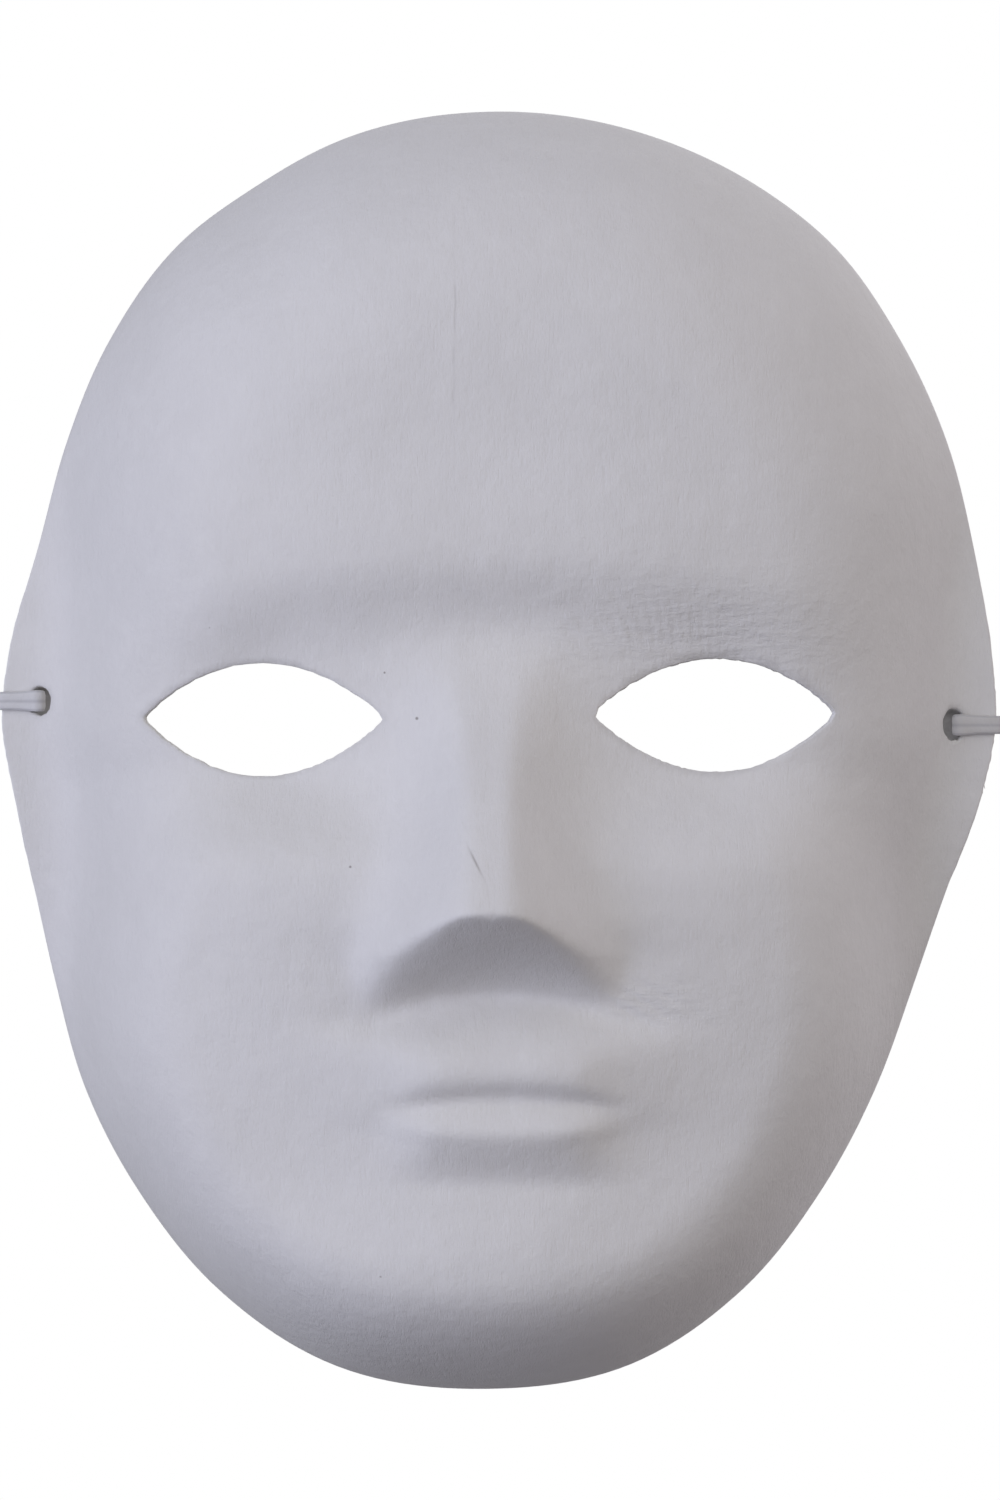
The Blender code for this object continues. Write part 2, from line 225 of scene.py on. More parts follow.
def faceDepth(x, z):
    # (crowned face - sockets + brow + cheeks + chin, with the nose and lips) * share + lift
    share, lift = wallRise(x, z)
    side = np.abs(x + 1)
    face = 50 - 0.0027 * x**2 - 0.0011 * np.clip(z - 30, 0, None) ** 2
    face = face - 0.0006 * np.clip(-z - 60, 0, None) ** 2
    brow = 18.5 - 0.0016 * side**2
    socket = smoothStep(brow + 10, brow - 13, z) * smoothStep(-29, -6, z)
    face = face - 8.8 * socket * (1 - smoothStep(36, 78, side))
    face = face + 1.2 * bell(z - 31, 8) * (1 - smoothStep(25, 68, side))
    cheek = smoothStep(-9, -33, z) * (1 - smoothStep(-36, -94, z))
    face = face + 5.8 * bell(side - 38, 20) * cheek
    face = face + 5.0 * bell(z + 101, 12) * bell(x + 1, 26)
    face = softMax(face, noseDepth(x, z), 5.5 - 3.5 * smoothStep(-36, -46, z))
    return (face + mouthRelief(x, z)) * share + lift


def pulpWaver(x, z):
    # the hand-laid pulp's unevenness: broad and small waves, and shallow drying creases
    inward, _ = inwardFromRim(x, z)
    waver = 0.07 * waves(x, z, 3, 14, 34, 18) + 0.035 * waves(x, z, 4, 5, 9, 26)
    brow = bell(x - 38, 16) * bell(z - 15, 4.5)
    waver = waver - 0.26 * brow * np.sin(math.tau * (z - 0.06 * x) / 3.4 + 0.9 * np.sin(x / 5))
    corner = bell(x - 27, 5) * bell(z + 52.5, 2.6)
    waver = waver - 0.28 * corner * np.sin(math.tau * (z + 0.5 * x) / 3.1)
    return waver * smoothStep(0, 6, inward)


def maskDepth(x, z):
    return faceDepth(x, z) + pulpWaver(x, z)


def maskSlopes(x, z):
    step = 0.2
    alongX = (maskDepth(x + step, z) - maskDepth(x - step, z)) / (2 * step)
    alongZ = (maskDepth(x, z + step) - maskDepth(x, z - step)) / (2 * step)
    return alongX, alongZ


def openingDistance(x, z):
    # below 0 inside an opening: the almond between two parabolas, or the strap hole's oval
    s = maskSettings
    rough = 0.09 * waves(x, z, 8, 1.6, 4.5, 20)
    nearest = np.full_like(x, 99.0)
    for centreX, centreZ in s["eyes"].values():
        arch = 1 - ((x - centreX) / s["eyeHalfWidth"]) ** 2
        over = z - centreZ - s["eyeTop"] * arch
        under = centreZ - s["eyeBottom"] * arch - z
        nearest = np.minimum(nearest, softMax(over, under, s["eyeCorner"]) - s["edgeRound"] + rough)
    for centreX, centreZ, halfWidth, halfHeight in s["strapHoles"].values():
        oval = np.hypot((x - centreX) / halfWidth, (z - centreZ) / halfHeight)
        nearest = np.minimum(nearest, (oval - 1) * halfWidth - s["edgeRound"] + 0.6 * rough)
    return nearest


def planGrid():
    # spokes from the nose tip to the rim, closer together towards the strap holes; rings
    # spaced by the length of the walls' mean profile, and closer over the ear tabs
    s = maskSettings
    fine = np.linspace(-math.pi, math.pi, 4001)
    density = np.ones_like(fine)
    for x, z, _, _ in s["strapHoles"].values():
        away = fine - math.atan2(z - s["rimCentreZ"], x)
        density = density + 2.6 * bell(np.arctan2(np.sin(away), np.cos(away)), 0.07)
    covered = np.concatenate([[0], np.cumsum((density[1:] + density[:-1]) / 2)])
    angles = np.interp(np.arange(s["spokes"]) / s["spokes"] * covered[-1], covered, fine)
    radius = curveThrough(rimAngles, rimRadii, angles)
    rimX, rimZ = radius * np.cos(angles), radius * np.sin(angles) + s["rimCentreZ"]
    tipX, tipZ = s["noseTip"]
    reach = 1 - (1 - np.linspace(0, 1, 500)) ** 2.5
    x = tipX + np.outer(reach, rimX - tipX)
    z = tipZ + np.outer(reach, rimZ - tipZ)
    climbs = np.diff(faceDepth(x, z), axis=0)
    steps = np.sqrt(np.diff(x, axis=0) ** 2 + np.diff(z, axis=0) ** 2 + climbs**2)
    steps = steps.mean(1) * (1 + 1.1 * smoothStep(0.80, 0.9, reach[1:]))
    covered = np.concatenate([[0], np.cumsum(steps)])
    rings = np.interp(np.arange(1, s["rings"] + 1) / s["rings"] * covered[-1], covered, reach)
    return tipX + np.outer(rings, rimX - tipX), tipZ + np.outer(rings, rimZ - tipZ)


def snapToOpenings(x, z, ids):
    # moves each node beside an opening's outline onto it, where a grid edge crosses nearest
    beside = np.roll(ids, -1, 1)
    a, b = np.concatenate([
        np.stack([ids, beside], -1).reshape(-1, 2),
        np.stack([ids[:-1], ids[1:]], -1).reshape(-1, 2),
        np.stack([ids[:-1], beside[1:]], -1).reshape(-1, 2),
    ]).T
    gap = openingDistance(x, z)
    crossing = gap[a] * gap[b] < 0
    a, b = a[crossing], b[crossing]
    share = gap[a] / (gap[a] - gap[b])
    cutX, cutZ = x[a] + share * (x[b] - x[a]), z[a] + share * (z[b] - z[a])
    node = np.where(share < 0.5, a, b)
    order = np.argsort(-np.hypot(cutX - x[node], cutZ - z[node]), kind="stable")
    x[node[order]] = cutX[order]    # the shortest move is written last, so it stays
    z[node[order]] = cutZ[order]
    gap[node] = 0
    return gap


def sheetTriangles(x, z, gap, ids):
    # two triangles for each cell and a fan round the nose tip, less those in an opening
    a, b = ids[:-1].ravel(), np.roll(ids, -1, 1)[:-1].ravel()
    d, c = ids[1:].ravel(), np.roll(ids, -1, 1)[1:].ravel()
    first = ids[0]
    fan = np.stack([np.full_like(first, ids.size), first, np.roll(first, -1)], -1)
    triangles = np.concatenate([fan, np.stack([a, d, c], -1), np.stack([a, c, b], -1)])
    corner = gap[triangles]
    middle = openingDistance(x[triangles].mean(1), z[triangles].mean(1))
    keep = (corner.min(1) >= 0) & ((corner.max(1) > 0) | (middle > 0))
    return triangles[keep]


def openEdges(triangles, count):
    # directed edges that only one triangle has
    edges = np.concatenate([triangles[:, [0, 1]], triangles[:, [1, 2]], triangles[:, [2, 0]]])
    forward, backward = edges[:, 0] * count + edges[:, 1], edges[:, 1] * count + edges[:, 0]
    return edges[~np.isin(forward, backward)]


def meshObject(name, points, faces, finish, corners=None, values=None):
    # an object of points in millimetres; corners are UVs in face order, values attributes
    mesh = bpy.data.meshes.new(name)
    mesh.from_pydata((points * mm).tolist(), [], faces)
    for label, amounts in (values or {}).items():
        layer = mesh.attributes.new(label, "FLOAT", "POINT")
        layer.data.foreach_set("value", np.asarray(amounts, np.float32))
    if corners is not None:
        layer = mesh.uv_layers.new(name="UVMap")
        layer.uv.foreach_set("vector", np.asarray(corners, np.float32).ravel())
    mesh.shade_smooth()
    mesh.materials.append(finish)
    made = bpy.data.objects.new(name, mesh)
    bpy.context.scene.collection.objects.link(made)
    return made


def makeMask(finish):
    # the outer sheet is (x, -depth, z), the inner one lies a wall's thickness behind it
    # along the surface's normal, and half-round walls join them round every opening
    s = maskSettings
    gridX, gridZ = planGrid()
    ids = np.arange(gridX.size).reshape(gridX.shape)
    x = np.append(gridX.ravel(), s["noseTip"][0])
    z = np.append(gridZ.ravel(), s["noseTip"][1])
    gap = snapToOpenings(x, z, ids)
    triangles = sheetTriangles(x, z, gap, ids)
    inward, _ = inwardFromRim(x, z)
    slopeX, slopeZ = maskSlopes(x, z)
    back = np.ones_like(x)
    last = ids[-1]
    slopeX[last], slopeZ[last] = maskSlopes(
        s["noseTip"][0] + (x[last] - s["noseTip"][0]) * 0.998,
        s["noseTip"][1] + (z[last] - s["noseTip"][1]) * 0.998,
    )
    _, lift = wallRise(x[last], z[last])
    back[last] = np.clip(lift / s["tabLift"], 0, 1)    # the rim's cut edge lies in the rim plane
    normal = unit(np.stack([slopeX, back, slopeZ], -1))
    outer = np.stack([x, -maskDepth(x, z), z], -1)
    felt = 0.07 * waves(x, z, 11, 3.2, 7, 30) * smoothStep(0, 5, inward)
    inner = outer + (s["wall"] + felt)[:, None] * normal

    count = len(x)
    edges = openEdges(triangles, count)
    start, end = edges.T
    following = np.zeros(count, int)
    before = np.zeros(count, int)
    following[start], before[end] = end, start
    border = np.sort(start)
    along = unit(outer[following[border]] - outer[before[border]])
    outward = unit(np.cross(along, -normal[border]))
    ragged = 1 + 0.35 * waves(x[border], z[border], 14, 0.9, 2.6, 24)
    place = np.zeros(count, int)
    place[border] = np.arange(len(border))
    wallRows = s["wallRows"]
    rows = [outer[border]]
    for row in range(1, wallRows):
        turn = math.pi * row / wallRows
        share = (1 - math.cos(turn)) / 2
        bulge = (s["edgeRound"] * math.sin(turn) * ragged)[:, None] * outward
        rows.append(outer[border] * (1 - share) + inner[border] * share + bulge)
    numbers = [border]
    for row in range(wallRows - 1):
        numbers.append(2 * count + len(border) * row + np.arange(len(border)))
    numbers.append(border + count)
    walls = []
    for upper, lower in zip(numbers, numbers[1:]):
        a, b = place[start], place[end]
        walls.append(np.stack([upper[b], upper[a], lower[a], lower[b]], -1))
    points = np.concatenate([outer, inner, *rows[1:]])
    walls = np.concatenate(walls)
    faces = triangles.tolist() + (triangles[:, ::-1] + count).tolist() + walls.tolist()

    between = wallRows - 1
    nearOpening = np.exp(-gap / s["darkeningReach"])
    atWalls = np.ones(len(border) * between)
    values = {
        "innerSide": np.concatenate([np.zeros(count), np.ones(count), 0.5 * atWalls]),
        "cutEdge": np.concatenate([np.zeros(2 * count), atWalls]),
        "openingWear": np.concatenate([nearOpening, nearOpening] + [nearOpening[border]] * between),
    }
    used = np.unique(np.concatenate([triangles.ravel(), (triangles + count).ravel(), walls.ravel()]))
    renumber = np.zeros(len(points), int)
    renumber[used] = np.arange(len(used))
    faces = [[int(renumber[i]) for i in face] for face in faces]
    return meshObject(
        "pulp_shell", points[used], faces, finish,
        values={label: amounts[used] for label, amounts in values.items()},
    )


# ---- shader maths

class Wire:
    # one socket of a node tree; Python's operators on it add Math nodes to that tree
    def __init__(self, tree, socket=None):
        self.tree = tree
        self.socket = socket

    def node(self, kind, settings=None, inputs=None, output=0):
        # any node: its type, its settings, the values or links of its sockets
        made = self.tree.nodes.new(kind)
        for name, value in (settings or {}).items():
            if name == "stops":
                made.color_ramp.elements.remove(made.color_ramp.elements[1])
                made.color_ramp.elements[0].position, made.color_ramp.elements[0].color = value[0]
                for position, colour in value[1:]:
                    made.color_ramp.elements.new(position).color = colour
            else:
                setattr(made, name, value)
        for name, value in (inputs or {}).items():
            if isinstance(value, Wire):
                self.tree.links.new(value.socket, made.inputs[name])
            else:
                made.inputs[name].default_value = value
        return Wire(self.tree, made.outputs[output] if made.outputs else None)

    def maths(self, operation, *values):
        return self.node("ShaderNodeMath", {"operation": operation}, dict(enumerate(values)))

    def vectors(self, operation, *values, scale=None, output=0):
        inputs = dict(enumerate(values))
        if scale is not None:
            inputs["Scale"] = scale
        return self.node("ShaderNodeVectorMath", {"operation": operation}, inputs, output)

    def __add__(self, other):
        return self.maths("ADD", self, other)

    def __radd__(self, other):
        return self.maths("ADD", other, self)

    def __sub__(self, other):
        return self.maths("SUBTRACT", self, other)

    def __rsub__(self, other):
        return self.maths("SUBTRACT", other, self)

    def __mul__(self, other):
        return self.maths("MULTIPLY", self, other)

    def __rmul__(self, other):
        return self.maths("MULTIPLY", other, self)

    def __truediv__(self, other):
        return self.maths("DIVIDE", self, other)

    def __pow__(self, other):
        return self.maths("POWER", self, other)

    def size(self):
        return self.maths("ABSOLUTE", self)

    def ramp(self, low, high):
        # smooth rise from 0 at low to 1 at high
        return self.node(
            "ShaderNodeMapRange", {"interpolation_type": "SMOOTHSTEP"},
            {"Value": self, "From Min": low, "From Max": high},
        )

    def bell(self, width):
        return self.maths("EXPONENT", (self / width) ** 2 * -0.5)

    def mix(self, first, second):
        # colour that goes from first to second as this value goes from 0 to 1
        return self.node("ShaderNodeMix", {"data_type": "RGBA"}, {0: self, 6: first, 7: second}, 2)

    def noise(self, scale, detail=2.0, roughness=0.5, warp=0.0):
        # this is the vector that the noise is read at
        inputs = {"Scale": scale, "Detail": detail, "Roughness": roughness, "Distortion": warp}
        return self.node("ShaderNodeTexNoise", None, {"Vector": self, **inputs})

    def turned(self, turn, stretch):
        inputs = {"Vector": self, "Rotation": turn, "Scale": stretch}
        return self.node("ShaderNodeMapping", None, inputs)

    def bump(self, height, strength, distance):
        # this is the normal below, or None for the surface's own
        inputs = {"Height": height, "Strength": strength, "Distance": distance}
        if self.socket is not None:
            inputs["Normal"] = self
        return self.node("ShaderNodeBump", None, inputs)


def newFinish(name, constants):
    # a material, with what is the same all over set on the shader's own sockets
    made = bpy.data.materials.new(name)
    made.use_nodes = True
    shader = made.node_tree.nodes["Principled BSDF"]
    for socket, value in constants.items():
        shader.inputs[socket].default_value = value
    return made, shader, Wire(made.node_tree)


def feed(shader, links):
    for socket, wire in links.items():
        wire.tree.links.new(wire.socket, shader.inputs[socket])


pulpSettings = {
    "colour": (0.735, 0.728, 0.722, 1),
    "paler": (0.752, 0.746, 0.739, 1),
    "greyer": (0.715, 0.708, 0.701, 1),
    "inner": (0.640, 0.628, 0.610, 1),
    "cut": (0.80, 0.795, 0.785, 1),
    "darkTone": (0.42, 0.41, 0.40, 1),
    # colour of the scratch and specks, and the painted shade along the crease
    "markAndCreaseShade": (0.20, 0.18, 0.165, 1),
    "creaseX": -8.2 * mm,
    "creaseSpan": (36 * mm, 98 * mm),
    "specks": (                   # X, Z, radius
        (-15.0 * mm, -1.3 * mm, 0.40 * mm), (-20.9 * mm, 7.0 * mm, 0.28 * mm),
        (-26.9 * mm, -28.0 * mm, 0.32 * mm),
    ),
    "scratch": (-4.3 * mm, -26.8 * mm, 1.5 * mm),
    "mattedPatches": (            # X, Z, spread across and up
        (36 * mm, 14 * mm, 20 * mm, 8 * mm), (27 * mm, -52 * mm, 7 * mm, 3.5 * mm),
    ),
}


def fibreField(place, scale, sharpness):
    # thin ridges of stretched noise lying in four directions: the highest of them is kept
    kept = None
    for turn in (0.2, 0.95, 1.75, 2.5):
        strand = place.turned((0.4 * turn, turn, 0.3), (1.0, 0.16, 0.16)).noise(scale, 1.0)
        ridge = (1 - (strand * 2 - 1).size()) ** sharpness
        kept = ridge if kept is None else kept.maths("MAXIMUM", kept, ridge)
    return kept


def pulpFinish():
    # mottled pulp with fine fibres, a broken crease with painted shade along it, a scratch and specks
    # on the outside, matted strands over the right eye and by the nose, a darker inside and pale cut
    # edges
    s = pulpSettings
    made, shader, draw = newFinish(
        "white_pulp_detail", {"Metallic": 0.0, "IOR": 1.45, "Specular IOR Level": 0.32},
    )
    place = draw.node("ShaderNodeTexCoord", output="Object")
    apart = draw.node("ShaderNodeSeparateXYZ", None, {"Vector": place})
    x, z = apart, Wire(apart.tree, apart.socket.node.outputs["Z"])
    inside = draw.node("ShaderNodeAttribute", {"attribute_name": "innerSide"}, output="Fac")
    cut = draw.node("ShaderNodeAttribute", {"attribute_name": "cutEdge"}, output="Fac")
    nearOpening = draw.node("ShaderNodeAttribute", {"attribute_name": "openingWear"}, output="Fac")
    outside = 1 - inside.ramp(0.1, 0.6)

    broad = place.noise(38, 3.0, 0.55)
    patch = place.noise(160, 4.0, 0.6, 0.4)
    grain = place.noise(1300, 3.0, 0.65)
    fibres = fibreField(place, 1500, 3.0)
    coarse = fibreField(place, 560, 6.0)

    colour = broad.ramp(0.35, 0.68).mix(s["greyer"], s["colour"])
    colour = (patch.ramp(0.45, 0.75) * 0.6).mix(colour, s["paler"])
    colour = (inside.ramp(0.5, 0.9) * (0.75 + 0.5 * patch)).mix(colour, s["inner"])
    colour = ((1 - fibres) * 0.06).mix(colour, s["darkTone"])
    matted = 0
    for patchX, patchZ, wide, tall in s["mattedPatches"]:
        matted = matted + (x - patchX).bell(wide) * (z - patchZ).bell(tall)
    matted = matted * outside
    strands = place.turned((0.0, 0.5, 0.0), (0.22, 1.0, 1.0)).noise(620, 3.0, 0.6)
    colour = (matted * strands.ramp(0.52, 0.72) * 0.16).mix(colour, s["darkTone"])
    colour = (coarse.ramp(0.75, 1.0) * 0.10).mix(colour, s["cut"])
    colour = (cut.ramp(0.05, 0.9) * (0.5 + 0.4 * grain)).mix(colour, s["cut"])
    # darker along the openings' edges, uneven with the patch noise
    colour = (nearOpening.ramp(0.25, 1.0) * patch.ramp(0.3, 0.6) * 0.22).mix(colour, s["darkTone"])

    wobble = (place.noise(90, 2.0) - 0.5) * (1.6 * mm)
    low, high = s["creaseSpan"]
    # the crease: a groove in the bump, and painted shade along it in the colour
    crease = (x - s["creaseX"] - wobble).bell(0.15 * mm) * z.ramp(low, low + 12 * mm)
    crease = crease * (1 - z.ramp(high - 14 * mm, high)) * outside
    crease = crease * (0.15 + 0.85 * place.noise(95, 1.0).ramp(0.48, 0.6))
    scratchX, scratchZ, length = s["scratch"]
    scratch = (x - scratchX + (z - scratchZ) * 0.5).bell(0.16 * mm) * (z - scratchZ).bell(length)
    scratch = scratch * outside
    # painted shade along the crease, with the dark scratch and specks
    marksAndCreaseShade = crease * 0.17 + scratch * 0.5
    for speckX, speckZ, radius in s["specks"]:
        spread = ((x - speckX) ** 2 + (z - speckZ) ** 2) ** 0.5
        marksAndCreaseShade = marksAndCreaseShade + (1 - spread.ramp(0.3 * radius, radius)) * outside * 0.75
    dots = draw.node("ShaderNodeTexVoronoi", None, {"Vector": place, "Scale": 95.0})
    chosen = draw.node("ShaderNodeTexVoronoi", None, {"Vector": place, "Scale": 95.0}, "Color")
    chance = draw.node("ShaderNodeSeparateXYZ", None, {"Vector": chosen})
    marksAndCreaseShade = marksAndCreaseShade + (1 - dots.ramp(0.008, 0.028)) * chance.ramp(0.86, 0.94) * 0.5
    colour = marksAndCreaseShade.maths("MINIMUM", marksAndCreaseShade, 0.9).mix(colour, s["markAndCreaseShade"])

    roughness = 0.80 + 0.10 * grain + 0.06 * inside + 0.05 * cut - 0.04 * patch
    height = 0.55 * fibres + 0.45 * grain + 0.25 * coarse
    surface = draw.bump(place.noise(260, 3.0, 0.6), 0.5, 0.5 * mm)
    surface = surface.bump(height, (0.5 + 0.4 * inside) + 0.3 * cut, 0.2 * mm)
    surface = surface.bump(1 - 0.6 * crease - 0.8 * scratch, 0.4, 0.1 * mm)
    surface = surface.bump(matted * strands, 0.55, 0.8 * mm)
    feed(shader, {"Base Color": colour, "Roughness": roughness, "Normal": surface})
    return made


pulp = pulpFinish()
mask = makeMask(pulp)
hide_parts("mask_shell")
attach(mask, "mask")
print("mask:", len(mask.data.polygons), "faces")


# ---- the elastic, in millimetres

elasticSettings = {
    "width": 3.0,
    "thickness": 0.9,
    "around": 26,                 # points round the band
    "step": 0.2,                  # spacing along it
    "yarnPitch": 0.95,
    "yarnRelief": 0.045,
    "clearance": 0.12,            # between the loops and the tabs
    "loopWidth": {"left": 3.4, "right": 3.4},
    "holeWidth": 4.0,             # the band spreads where it goes through the hole
    "turnsIn": {"left": 0.5, "right": 1.2},    # how far outside the hole's middle it turns in
}

strapRoute = (                    # hangs from knot to knot, in metres
    (-0.0865, 0.0015, -0.0033), (-0.0837, 0.0015, -0.0074), (-0.0800, 0.0016, -0.0134),
    (-0.0750, 0.0017, -0.0224), (-0.0700, 0.0018, -0.0317), (-0.0600, 0.0020, -0.0466),
    (-0.0500, 0.0021, -0.0584), (-0.0400, 0.0021, -0.0677), (-0.0300, 0.0020, -0.0747),
    (-0.0200, 0.0019, -0.0796), (-0.0100, 0.0018, -0.0826), (0.0000, 0.0017, -0.0838),
    (0.0100, 0.0017, -0.0831), (0.0200, 0.0017, -0.0806), (0.0300, 0.0018, -0.0762),
    (0.0400, 0.0019, -0.0697), (0.0500, 0.0020, -0.0609), (0.0600, 0.0020, -0.0495),
    (0.0700, 0.0019, -0.0349), (0.0750, 0.0018, -0.0260), (0.0800, 0.0016, -0.0156),
    (0.0828, 0.0015, -0.0111), (0.0853, 0.0014, -0.0075),
)


def evenPath(points, spacing):
    # a Hermite curve through the points, read at even steps of about the spacing
    points = np.asarray(points, float)
    for _ in range(2):
        steps = np.linalg.norm(np.diff(points, axis=0), axis=1)
        covered = np.concatenate([[0], np.cumsum(steps)])
        at = np.linspace(0, covered[-1], int(round(covered[-1] / spacing)) + 1)
        points = np.stack([curveThrough(covered, points[:, k], at) for k in range(3)], 1)
    return points


def gridFaces(rows, columns, joinEnds):
    # quads of a tube's grid, with their UV corners as (share along, share round)
    i = np.arange(rows if joinEnds else rows - 1)[:, None]
    j = np.arange(columns)[None, :]
    i, j = np.broadcast_arrays(i, j)
    i2, j2 = i + 1, j + 1
    index = lambda r, c: (r % rows) * columns + c % columns
    faces = np.stack([index(i, j), index(i2, j), index(i2, j2), index(i, j2)], -1).reshape(-1, 4)
    corners = np.stack([
        np.stack([r / rows, c / columns], -1) for r, c in ((i, j), (i2, j), (i2, j2), (i, j2))
    ], -2).reshape(-1, 2)
    return faces, corners


def bandGrid(path, across, width, s, closed):
    # section: half width * cos(a), half thickness * |sin(a)|^0.6 with two ribs, where a goes
    # round; the yarns stand up by cos(2 pi (length / pitch + distance from the rib's middle))
    tangent = np.gradient(path, axis=0)
    if closed:
        tangent = np.roll(path, -1, 0) - np.roll(path, 1, 0)
    tangent = unit(tangent)
    across = unit(across - (across * tangent).sum(-1, keepdims=True) * tangent)
    through = np.cross(tangent, across)
    turn = np.arange(s["around"]) / s["around"] * math.tau
    a, b = np.cos(turn), np.sin(turn)
    length = np.arange(len(path))[:, None] * s["step"]
    ribs = 0.55 + 0.45 * np.abs(np.sin(math.pi * a)) ** 0.6
    chevron = np.abs(np.abs(a) - 0.5) * 2.2
    relief = s["yarnRelief"] * np.cos(math.tau * (length / s["yarnPitch"] + chevron * np.sign(b)))
    out = np.sign(b) * (np.abs(b) ** 0.6) * (ribs * s["thickness"] / 2 + relief)
    side = (np.asarray(width)[:, None] / 2) * a + 0 * length
    return path[:, None] + side[..., None] * across[:, None] + out[..., None] * through[:, None]


def closeEnds(grid, faces, corners):
    # a fan of triangles over each open end of a tube
    rows, columns = grid.shape[:2]
    points = np.concatenate([grid.reshape(-1, 3), grid[:1].mean(1), grid[-1:].mean(1)])
    ring = np.arange(columns)
    first = np.stack([np.full(columns, rows * columns), np.roll(ring, -1), ring], -1)
    lastRing = ring + (rows - 1) * columns
    last = np.stack([np.full(columns, rows * columns + 1), lastRing, np.roll(lastRing, -1)], -1)
    fans = np.concatenate([first, last])
    corners = np.concatenate([corners, np.zeros((fans.size, 2))])
    return points, faces.tolist() + fans.tolist(), corners


def joinParts(parts):
    # one list of points and one of faces out of several
    points, faces, count = [], [], 0
    for partPoints, partFaces in parts:
        points.append(partPoints)
        faces += [[i + count for i in face] for face in partFaces]
        count += len(partPoints)
    return np.concatenate(points), faces


def loopCentreline(side):
    # from the strap hole out to the tab's edge, along the middle of the wall, as X, Y
    holeX, z = maskSettings["strapHoles"][side][:2]
    outward = math.copysign(1, holeX)
    edge = outward * math.sqrt(
        float(curveThrough(rimAngles, rimRadii, math.atan2(z - maskSettings["rimCentreZ"], holeX))) ** 2
        - (z - maskSettings["rimCentreZ"]) ** 2
    )
    x = np.linspace(holeX + outward * elasticSettings["turnsIn"][side], edge - outward * 0.1, 12)
    y = -maskDepth(x, np.full_like(x, z)) + maskSettings["wall"] / 2
    return np.stack([x, y], -1), z


def makeLoop(side, finish):
    # a closed band at one distance from the wall's middle line: in front of it, round the
    # tab's edge in a half circle, back behind it and up through the hole
    s = elasticSettings
    line, z = loopCentreline(side)
    away = maskSettings["wall"] / 2 + s["clearance"] + s["thickness"] / 2
    along = unit(np.gradient(line, axis=0))
    normal = np.stack([-along[:, 1], along[:, 0]], -1)
    if normal[0, 1] > 0:
        normal = -normal                      # towards the front
    turns = np.linspace(0, math.pi, 9)[1:-1, None]
    ends = [
        line[-1] + away * (np.cos(turns) * normal[-1] + np.sin(turns) * along[-1]),
        line[0] + away * (-np.cos(turns) * normal[0] - np.sin(turns) * along[0]),
    ]
    flat = np.concatenate([line + away * normal, ends[0], (line - away * normal)[::-1], ends[1]])
    flat = np.concatenate([flat, flat[:1]])
    path = np.stack([flat[:, 0], flat[:, 1], np.full(len(flat), z)], -1)
    path = evenPath(path, s["step"])[:-1]
    across = np.tile([0.0, 0.0, 1.0], (len(path), 1))
    inHole = bell(np.abs(path[:, 0] - line[0, 0]), 1.6)
    width = s["loopWidth"][side] + (s["holeWidth"] - s["loopWidth"][side]) * inHole
    grid = bandGrid(path, across, width, s, True)
    faces, corners = gridFaces(len(path), s["around"], True)
    corners = corners * (len(path) * s["step"], 1)
    return meshObject(f"elastic_loop_{side}", grid.reshape(-1, 3), faces.tolist(), finish, corners)


knotSettings = {
    "fromHole": 3.4,              # how far outside the hole its middle is
    "depth": 1.9,
    "scale": 0.62,                # of a trefoil three units across
    "height": 1.55,
    "strand": 0.98,
    "steps": 150,                 # along the trefoil and round its cord
    "around": 16,
    "tail": 11.0,
    "threads": 9,
    "bight": (                    # X outward and Z from the hole's middle, and Y
        (3.0, 1.9, 1.6), (1.2, 1.1, 3.2), (-0.8, 0.7, 2.3), (-1.5, 0.6, 0.0), (-0.8, 0.7, -2.3),
        (1.2, 1.1, -3.2), (3.0, 1.9, -1.6),
    ),
}


def tubeGrid(path, radius, around, closed):
    # circles of the given radius round the path, turned as little as it allows
    tangent = unit(np.roll(path, -1, 0) - np.roll(path, 1, 0) if closed else np.gradient(path, axis=0))
    side = unit(np.cross(tangent, (0.13, 1.0, 0.21)))
    over = np.cross(tangent, side)
    turn = np.arange(around) / around * math.tau
    ring = np.cos(turn)[None, :, None] * side[:, None] + np.sin(turn)[None, :, None] * over[:, None]
    return path[:, None] + ring * np.broadcast_to(radius, (len(path), around))[..., None]


